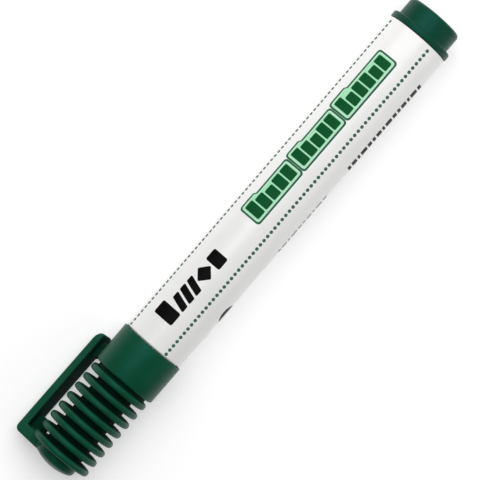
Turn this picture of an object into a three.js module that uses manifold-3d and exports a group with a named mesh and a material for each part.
// Whiteboard marker with a finned, clipped cap, as an assembly of its real pieces.
// Millimetres, +Z up. The marker lies on its side on the plane Z = 0, held from rolling by its pocket
// clip. +X runs from the domed end of the cap to the flat end of the rear plug.
// A "station" is a distance along +X from the cap's domed end.
// Round pieces nest with a small clearance where the real ones are pressed or wrapped together.

import * as THREE from "three";
import { mergeVertices } from "three/addons/utils/BufferGeometryUtils.js";
import Module from "manifold-3d";

const wasm = await Module();
wasm.setup();

// ---- Driving dimensions ----
const OVERALL_LENGTH = 140;
const BODY_RADIUS = 8.44; // the cap's sleeve and the plug's flange, the two widest rings
const CAP_LENGTH = 37.2;
const FACETS = 32; // round pieces share one facet count and phase, with a flat at the bottom

// ---- Cap ----
const DOME_SAGITTA = 0.88;
const DOME_RADIUS = 4.6; // where the crown ends and its rounded edge begins
const DOME_EDGE_END = 2.4;
const DOME_STEPS = 4;
const CORE_END_RADIUS = 5.45;
const CORE_RADIUS = 5.1;
const FIN_COUNT = 8;
const FIN_PITCH = 2.947;
const FIRST_FIN = 4.06;
const FIN_RADIUS = 8.15;
const FIN_ROOT = 2.0; // thickness at the core
const FIN_TIP = 0.9; // flat width left on the rounded edge
const FIN_EDGE = 0.45; // how far the rounded edge reaches down the fin
const FIN_DRAFT = 0.12; // each face leans in this much from root to edge
const LAST_GAP_RADIUS = 7.0; // the groove between the last fin and the sleeve is shallow
const SLEEVE_START = 26.55;
const SLEEVE_WALL = 1.75; // thickness of the wall that closes the sleeve
const SLEEVE_BORE = 7.25;
const EDGE = 0.35; // softened outside edges
const BEVEL = 0.2; // softened edges of thin walls
const CORE_BORE = 4.2;
const CORE_BORE_START = 3.9;

// ---- Pocket clip ----
const CLIP_WIDTH = 5.3;
const CLIP_INNER = 10.26; // distance of its inner face from the marker's axis
const CLIP_OUTER = 12.42;
const CLIP_END = 31.75;
const CLIP_CORNER = 0.55; // rounding along its two outer edges
const CLIP_INNER_CORNER = 0.35;
const CLIP_HEEL = 1.3; // rounding of the corner between arm and strap
const CLIP_TOE = 1.75; // rounding of the free end
const ARM_START = 1.0;
const ARM_END = 3.7;
const ARM_FOOT = 3.9; // the arm's lower end, buried in the cap's domed end
const GUSSET_WIDTH = 1.4;
const GUSSET_FOOT = 6.45; // its lower edge, clear of the core between the first two fins
const GUSSET_END = 7.55; // just inside the second fin
const BURIED = 0.4; // how far joined shapes of one moulding run into each other
const FLEX_STATION = 8.35; // where the strap bends when it is lifted
const FLEX_GAP = 0.3;
const NUB_START = 24.9; // under the strap, by the free end
const NUB_END = 30.5;
const NUB_FRONT_SLOPE = 1.7; // how far its sloped ends reach along the marker
const NUB_REAR_SLOPE = 0.8;
const NUB_WIDTH = 2.1;
const NUB_CLEARANCE = 0.13; // from the cap's sleeve

// ---- Barrel and its print film ----
const BARREL_START = CAP_LENGTH + 0.3;
const BARREL_END = 133.1;
const FILM_FRONT_RADIUS = 8.05; // the barrel has a slight moulding draft, wider at the rear
const FILM_REAR_RADIUS = 8.22;
const FILM_THICKNESS = 0.12;
const FILM_CLEARANCE = 0.05;
const FILM_INSET = 0.3;
const BARREL_BORE = 6.9;
const GUIDE_RIB_COUNT = 6;
const GUIDE_RIB_WIDTH = 0.9;
const GUIDE_RIB_RADIUS = 5.95; // distance of a rib's inner face from the axis
const GUIDE_RIB_INSET = 0.8; // from the pieces pressed into the barrel's two ends

// ---- Nib holder and nib ----
const NECK_RADIUS = 7.05;
const NECK_START = 29.25;
const SNAP_BEAD_STATION = 34.6;
const SNAP_BEAD_HEIGHT = 0.1;
const SNAP_BEAD_REACH = 0.6; // half its length along the neck
const NOZZLE_START = 15.6;
const NOZZLE_FRONT_RADIUS = 2.95;
const NOZZLE_REAR_RADIUS = 3.2;
const NOZZLE_REAR = 26.0;
const NOZZLE_FOOT_RADIUS = 4.15; // the nozzle flares into the neck's end face
const NOZZLE_FOOT_LENGTH = 0.6;
const HOLDER_END = 46.0;
const HOLDER_HOLLOW_START = 37.0; // hollow behind the nib's bore, open to the reservoir
const HOLDER_HOLLOW_RADIUS = 5.4;
const PRESS_CLEARANCE = 0.08;
const NIB_RADIUS = 2.3;
const NIB_TIP = 8.0;
const NIB_END = 54.5;
const NIB_NOSE = 2.6; // length of its rounded writing end
const NIB_TAIL = 0.7; // bevel of the end that enters the reservoir
const NIB_FACETS = 24;

// ---- Ink reservoir ----
const RESERVOIR_RADIUS = 5.55;
const RESERVOIR_START = 46.6;
const RESERVOIR_END = 121.8;
const SOCKET_GAP = 0.3; // between the nib's tail and the end of its socket
const WRAP_THICKNESS = 0.15;
const WRAP_INSET = 0.3;

// ---- Rear plug ----
const FLANGE_START = 133.25;
const FLANGE_END = 134.95;
const PLUG_RADIUS = 7.22;
const PLUG_WALL = 1.4;
const PLUG_FLAT_RADIUS = 5.0;
const PLUG_EDGE_LENGTH = 1.2;
const SPIGOT_START = 122.4;

// ---- Cap liner ----
const LINER_RADIUS = 4.1;
const LINER_BORE = 3.45;
const LINER_START = 4.15;
const LINER_FLOOR = 0.85;
const LINER_MOUTH = 4.75; // the bore widens to this at its open end
const LINER_MOUTH_START = 26.4;
const LINER_FLANGE_RADIUS = 6.9;
const LINER_FLANGE_START = 28.4;
const LINER_FLANGE_END = 28.9;

// Height of the axis over the surface: the marker stands on the lowest flats of its widest rings.
const AXIS_HEIGHT = BODY_RADIUS * Math.cos(Math.PI / FACETS);

// How far the clip points below the horizontal when its rounded outer edge touches the surface.
const cornerOut = CLIP_OUTER - CLIP_CORNER;
const cornerAside = CLIP_WIDTH / 2 - CLIP_CORNER;
const REST_ANGLE =
  Math.asin((AXIS_HEIGHT - CLIP_CORNER) / Math.hypot(cornerOut, cornerAside)) -
  Math.atan2(cornerAside, cornerOut);

// ---- Shape helpers ----

// Turns a closed outline of [station, radius] points about the marker's axis.
function turned(outline, facets = FACETS) {
  const points = outline.map(([station, radius]) => new THREE.Vector2(radius, station));
  const onAxis = outline[0][1] === 0;
  if (!onAxis) points.push(points[0].clone());
  const geometry = new THREE.LatheGeometry(points, facets, Math.PI / facets);
  return geometry.rotateZ(-Math.PI / 2);
}

// Points on an elliptical quarter from one [station, radius] corner to another, without the first.
// It leaves the first point along the axis when alongFirst is true, and otherwise along the radius.
function quarter([s0, r0], [s1, r1], steps, alongFirst) {
  const points = [];
  for (let i = 1; i <= steps; i++) {
    const angle = (i / steps) * (Math.PI / 2);
    const fast = Math.sin(angle);
    const slow = 1 - Math.cos(angle);
    const [ds, dr] = alongFirst ? [fast, slow] : [slow, fast];
    points.push([s0 + (s1 - s0) * ds, r0 + (r1 - r0) * dr]);
  }
  return points;
}

function solidOf(geometry) {
  const bare = geometry.clone();
  bare.deleteAttribute("normal");
  bare.deleteAttribute("uv");
  const merged = mergeVertices(bare, 1e-4);
  return new wasm.Manifold(
    new wasm.Mesh({
      numProp: 3,
      vertProperties: new Float32Array(merged.attributes.position.array),
      triVerts: new Uint32Array(merged.index.array),
    }),
  );
}

function geometryOf(solid) {
  const mesh = solid.getMesh();
  const geometry = new THREE.BufferGeometry();
  geometry.setAttribute("position", new THREE.BufferAttribute(mesh.vertProperties, 3));
  geometry.setIndex(new THREE.BufferAttribute(mesh.triVerts, 1));
  return geometry;
}

function union(...geometries) {
  return geometryOf(geometries.map(solidOf).reduce((a, b) => a.add(b)));
}

function intersection(a, b) {
  return geometryOf(solidOf(a).intersect(solidOf(b)));
}

// Clip pieces are drawn in the clip's own frame: X station, Y outward from the axis, Z across.
// A plate has a side outline of [station, distance from the axis], and a width across.
function plate(shape, width) {
  const geometry = new THREE.ExtrudeGeometry(shape, {
    depth: width,
    bevelEnabled: false,
    curveSegments: 5,
  });
  return geometry.translate(0, 0, -width / 2);
}

// The clip's cross-section, swept past both ends of the marker: its two outer edges are rounded, and
// the two edges of its lower face are bevelled. Shapes cut with it get its rounded edges.
function clipSection(lowerFace) {
  const half = CLIP_WIDTH / 2;
  const side = half - CLIP_CORNER;
  const top = CLIP_OUTER - CLIP_CORNER;
  const shape = new THREE.Shape();
  shape.moveTo(-half + CLIP_INNER_CORNER, lowerFace);
  shape.lineTo(half - CLIP_INNER_CORNER, lowerFace);
  shape.lineTo(half, lowerFace + CLIP_INNER_CORNER);
  shape.lineTo(half, top);
  shape.absarc(side, top, CLIP_CORNER, 0, Math.PI / 2, false);
  shape.absarc(-side, top, CLIP_CORNER, Math.PI / 2, Math.PI, false);
  shape.lineTo(-half, lowerFace + CLIP_INNER_CORNER);
  const geometry = new THREE.ExtrudeGeometry(shape, {
    depth: OVERALL_LENGTH,
    bevelEnabled: false,
    curveSegments: 8,
  });
  return geometry.rotateY(Math.PI / 2).translate(-OVERALL_LENGTH / 4, 0, 0);
}

// Turns a shape from the clip's own frame to the way the clip points at rest.
function toRest(geometry) {
  return geometry.rotateX(-REST_ANGLE);
}

// ---- Pieces ----

function capBody() {
  const outline = [[0, 0]];
  // Crowned end: an arc of a large sphere, then a rounded edge down to the core's end.
  const crown = (DOME_RADIUS ** 2 + DOME_SAGITTA ** 2) / (2 * DOME_SAGITTA);
  for (let i = 1; i <= DOME_STEPS; i++) {
    const radius = DOME_RADIUS * Math.sqrt(i / DOME_STEPS);
    outline.push([crown - Math.sqrt(crown ** 2 - radius ** 2), radius]);
  }
  outline.push(...quarter([DOME_SAGITTA, DOME_RADIUS], [DOME_EDGE_END, CORE_END_RADIUS], 2, false));
  for (let fin = 0; fin < FIN_COUNT; fin++) {
    const middle = FIRST_FIN + fin * FIN_PITCH;
    const before = fin === 0 ? CORE_END_RADIUS : CORE_RADIUS;
    outline.push([middle - FIN_ROOT / 2, before]);
    outline.push([middle - FIN_ROOT / 2 + FIN_DRAFT, FIN_RADIUS - FIN_EDGE]);
    outline.push([middle - FIN_TIP / 2, FIN_RADIUS]);
    outline.push([middle + FIN_TIP / 2, FIN_RADIUS]);
    outline.push([middle + FIN_ROOT / 2 - FIN_DRAFT, FIN_RADIUS - FIN_EDGE]);
    outline.push([middle + FIN_ROOT / 2, fin === FIN_COUNT - 1 ? LAST_GAP_RADIUS : CORE_RADIUS]);
  }
  outline.push([SLEEVE_START, LAST_GAP_RADIUS]);
  outline.push([SLEEVE_START, BODY_RADIUS - EDGE]);
  outline.push([SLEEVE_START + EDGE, BODY_RADIUS]);
  outline.push([CAP_LENGTH - EDGE / 2, BODY_RADIUS]);
  outline.push([CAP_LENGTH, BODY_RADIUS - EDGE / 2]);
  // Inside: the sleeve that grips the neck, its floor, and the bore that holds the liner.
  outline.push([CAP_LENGTH, SLEEVE_BORE + EDGE / 2]);
  outline.push([CAP_LENGTH - EDGE, SLEEVE_BORE]);
  outline.push([SLEEVE_START + SLEEVE_WALL, SLEEVE_BORE]);
  outline.push([SLEEVE_START + SLEEVE_WALL, CORE_BORE]);
  outline.push([CORE_BORE_START, CORE_BORE]);
  outline.push([CORE_BORE_START, 0]);
  return union(turned(outline), toRest(clipRoot()));
}

// The arm that rises from the cap's domed end, the start of the strap, and the gusset under it.
function clipRoot() {
  const end = FLEX_STATION - FLEX_GAP / 2;
  const side = new THREE.Shape();
  side.moveTo(ARM_START, ARM_FOOT);
  side.lineTo(ARM_END, ARM_FOOT);
  side.lineTo(ARM_END, CLIP_INNER);
  side.lineTo(end, CLIP_INNER);
  side.lineTo(end, CLIP_OUTER);
  side.lineTo(ARM_START + CLIP_HEEL, CLIP_OUTER);
  side.absarc(ARM_START + CLIP_HEEL, CLIP_OUTER - CLIP_HEEL, CLIP_HEEL, Math.PI / 2, Math.PI, false);
  const arm = intersection(plate(side, CLIP_WIDTH), clipSection(ARM_FOOT - CLIP_CORNER));

  const web = new THREE.Shape();
  web.moveTo(ARM_END - BURIED, GUSSET_FOOT);
  web.lineTo(GUSSET_END, GUSSET_FOOT);
  web.lineTo(GUSSET_END, CLIP_INNER + BURIED);
  web.lineTo(ARM_END - BURIED, CLIP_INNER + BURIED);
  return union(arm, plate(web, GUSSET_WIDTH));
}

// The springy strap, from its flexing root to its rounded toe, with the nub that grips the pocket.
function clipStrap() {
  const start = FLEX_STATION + FLEX_GAP / 2;
  const side = new THREE.Shape();
  side.moveTo(start, CLIP_INNER);
  side.lineTo(CLIP_END - CLIP_INNER_CORNER, CLIP_INNER);
  side.lineTo(CLIP_END, CLIP_INNER + CLIP_INNER_CORNER);
  side.lineTo(CLIP_END, CLIP_OUTER - CLIP_TOE);
  side.absarc(CLIP_END - CLIP_TOE, CLIP_OUTER - CLIP_TOE, CLIP_TOE, 0, Math.PI / 2, false);
  side.lineTo(start, CLIP_OUTER);
  const strap = intersection(plate(side, CLIP_WIDTH), clipSection(CLIP_INNER));

  const nub = new THREE.Shape();
  const nubFoot = BODY_RADIUS + NUB_CLEARANCE;
  nub.moveTo(NUB_START + NUB_FRONT_SLOPE, nubFoot);
  nub.lineTo(NUB_END - NUB_REAR_SLOPE, nubFoot);
  nub.lineTo(NUB_END, CLIP_INNER);
  nub.lineTo(NUB_END, CLIP_INNER + BURIED);
  nub.lineTo(NUB_START, CLIP_INNER + BURIED);
  nub.lineTo(NUB_START, CLIP_INNER);
  return union(strap, plate(nub, NUB_WIDTH));
}

function barrel() {
  const wall = FILM_THICKNESS + FILM_CLEARANCE;
  const front = FILM_FRONT_RADIUS - wall;
  const rear = FILM_REAR_RADIUS - wall;
  const tube = turned([
    [BARREL_START, BARREL_BORE + BEVEL],
    [BARREL_START, front - BEVEL],
    [BARREL_START + BEVEL, front],
    [BARREL_END, rear],
    [BARREL_END, BARREL_BORE],
    [BARREL_START + BEVEL, BARREL_BORE],
  ]);
  // Lengthwise ribs inside the tube keep the reservoir centred and leave air channels beside it.
  const ribs = [];
  const start = HOLDER_END + GUIDE_RIB_INSET;
  const length = SPIGOT_START - GUIDE_RIB_INSET - start;
  const height = BARREL_BORE + BURIED - GUIDE_RIB_RADIUS;
  for (let i = 0; i < GUIDE_RIB_COUNT; i++) {
    const rib = new THREE.BoxGeometry(length, height, GUIDE_RIB_WIDTH);
    rib.translate(start + length / 2, GUIDE_RIB_RADIUS + height / 2, 0);
    ribs.push(rib.rotateX((i * 2 * Math.PI) / GUIDE_RIB_COUNT));
  }
  return union(tube, ...ribs);
}

function printFilm() {
  const inside = FILM_THICKNESS;
  return turned([
    [BARREL_START + FILM_INSET, FILM_FRONT_RADIUS - inside],
    [BARREL_START + FILM_INSET, FILM_FRONT_RADIUS],
    [BARREL_END - FILM_INSET, FILM_REAR_RADIUS],
    [BARREL_END - FILM_INSET, FILM_REAR_RADIUS - inside],
  ]);
}

function nibHolder() {
  const spigot = BARREL_BORE - PRESS_CLEARANCE;
  const bore = NIB_RADIUS + PRESS_CLEARANCE;
  const bead = NECK_RADIUS + SNAP_BEAD_HEIGHT;
  return turned([
    [NOZZLE_START, bore + BEVEL],
    [NOZZLE_START, NOZZLE_FRONT_RADIUS - BEVEL],
    [NOZZLE_START + BEVEL, NOZZLE_FRONT_RADIUS],
    [NOZZLE_REAR, NOZZLE_REAR_RADIUS],
    [NECK_START - NOZZLE_FOOT_LENGTH, NOZZLE_FOOT_RADIUS],
    [NECK_START, NOZZLE_FOOT_RADIUS + NOZZLE_FOOT_LENGTH],
    [NECK_START, NECK_RADIUS - BEVEL],
    [NECK_START + BEVEL, NECK_RADIUS],
    [SNAP_BEAD_STATION - SNAP_BEAD_REACH, NECK_RADIUS],
    [SNAP_BEAD_STATION, bead],
    [SNAP_BEAD_STATION + SNAP_BEAD_REACH, NECK_RADIUS],
    [BARREL_START - PRESS_CLEARANCE, NECK_RADIUS],
    [BARREL_START - PRESS_CLEARANCE, spigot],
    [HOLDER_END - EDGE, spigot],
    [HOLDER_END, spigot - EDGE],
    [HOLDER_END, HOLDER_HOLLOW_RADIUS],
    [HOLDER_HOLLOW_START, HOLDER_HOLLOW_RADIUS],
    [HOLDER_HOLLOW_START, bore],
    [NOZZLE_START + BEVEL, bore],
  ]);
}

// A bullet nib: a round-nosed rod of bonded fibre that reaches into the reservoir.
function nib() {
  return turned(
    [
      [NIB_TIP, 0],
      ...quarter([NIB_TIP, 0], [NIB_TIP + NIB_NOSE, NIB_RADIUS], 6, false),
      [NIB_END - NIB_TAIL, NIB_RADIUS],
      [NIB_END, NIB_RADIUS - NIB_TAIL],
      [NIB_END, 0],
    ],
    NIB_FACETS,
  );
}

// The fibre core that holds the ink, with a socket at the front for the nib's tail.
function reservoir() {
  const socket = NIB_RADIUS + PRESS_CLEARANCE;
  const socketEnd = NIB_END + SOCKET_GAP;
  return turned([
    [socketEnd, 0],
    [socketEnd, socket],
    [RESERVOIR_START, socket],
    [RESERVOIR_START, RESERVOIR_RADIUS],
    [RESERVOIR_END, RESERVOIR_RADIUS],
    [RESERVOIR_END, 0],
  ]);
}

function reservoirWrap() {
  const inside = RESERVOIR_RADIUS + FILM_CLEARANCE;
  const outside = inside + WRAP_THICKNESS;
  return turned([
    [RESERVOIR_START + WRAP_INSET, inside],
    [RESERVOIR_START + WRAP_INSET, outside],
    [RESERVOIR_END - WRAP_INSET, outside],
    [RESERVOIR_END - WRAP_INSET, inside],
  ]);
}

function rearPlug() {
  const spigot = BARREL_BORE - PRESS_CLEARANCE;
  const hollow = PLUG_RADIUS - PLUG_WALL;
  const hollowEnd = OVERALL_LENGTH - PLUG_WALL;
  const edge = OVERALL_LENGTH - PLUG_EDGE_LENGTH;
  return turned([
    [hollowEnd, 0],
    [hollowEnd, hollow - EDGE],
    [hollowEnd - EDGE, hollow],
    [SPIGOT_START, hollow],
    [SPIGOT_START, spigot - EDGE],
    [SPIGOT_START + EDGE, spigot],
    [FLANGE_START, spigot],
    [FLANGE_START, BODY_RADIUS],
    [FLANGE_END - EDGE, BODY_RADIUS],
    [FLANGE_END, BODY_RADIUS - EDGE],
    [FLANGE_END, PLUG_RADIUS],
    [edge, PLUG_RADIUS],
    ...quarter([edge, PLUG_RADIUS], [OVERALL_LENGTH, PLUG_FLAT_RADIUS], 4, true),
    [OVERALL_LENGTH, 0],
  ]);
}

// The soft cup inside the cap that closes round the nozzle and keeps the nib wet.
function capLiner() {
  return turned([
    [LINER_START, 0],
    [LINER_START, LINER_RADIUS - EDGE],
    [LINER_START + EDGE, LINER_RADIUS],
    [LINER_FLANGE_START, LINER_RADIUS],
    [LINER_FLANGE_START, LINER_FLANGE_RADIUS],
    [LINER_FLANGE_END, LINER_FLANGE_RADIUS],
    [LINER_FLANGE_END, LINER_MOUTH],
    [LINER_MOUTH_START, LINER_BORE],
    [LINER_START + LINER_FLOOR, LINER_BORE],
    [LINER_START + LINER_FLOOR, 0],
  ]);
}

// ---- Materials ----
const greenPlastic = { color: 0x18523f, roughness: 0.34, metalness: 0 };
const whitePlastic = { color: 0xf2f2ef, roughness: 0.4, metalness: 0 };
const printedFilm = { color: 0xf8f8f6, roughness: 0.3, metalness: 0 };
const milkyPlastic = { color: 0xe6e8e4, roughness: 0.45, metalness: 0 };
const nibFibre = { color: 0x0c4a33, roughness: 0.9, metalness: 0 };
const inkFibre = { color: 0x1c5a44, roughness: 0.95, metalness: 0 };

// ---- Assembly ----
const marker = new THREE.Group();

function piece(name, geometry, finish, parent = marker) {
  const mesh = new THREE.Mesh(geometry, new THREE.MeshStandardMaterial(finish));
  mesh.name = name;
  parent.add(mesh);
  return mesh;
}

piece("barrel", barrel(), whitePlastic);
piece("print_film", printFilm(), printedFilm);
piece("nib_holder", nibHolder(), whitePlastic);
piece("nib", nib(), nibFibre);
piece("ink_reservoir", reservoir(), inkFibre);
piece("reservoir_wrap", reservoirWrap(), milkyPlastic);
piece("end_plug", rearPlug(), greenPlastic);
piece("cap", capBody(), greenPlastic);
piece("cap_liner", capLiner(), milkyPlastic);
piece("pocket_clip", toRest(clipStrap()), greenPlastic);

// The frame's origin is on the surface, under the middle of the marker's box.
const box = new THREE.Box3().setFromObject(marker);
const middle = box.getCenter(new THREE.Vector3());
marker.position.set(-middle.x, -middle.y, -box.min.z);

export default marker;
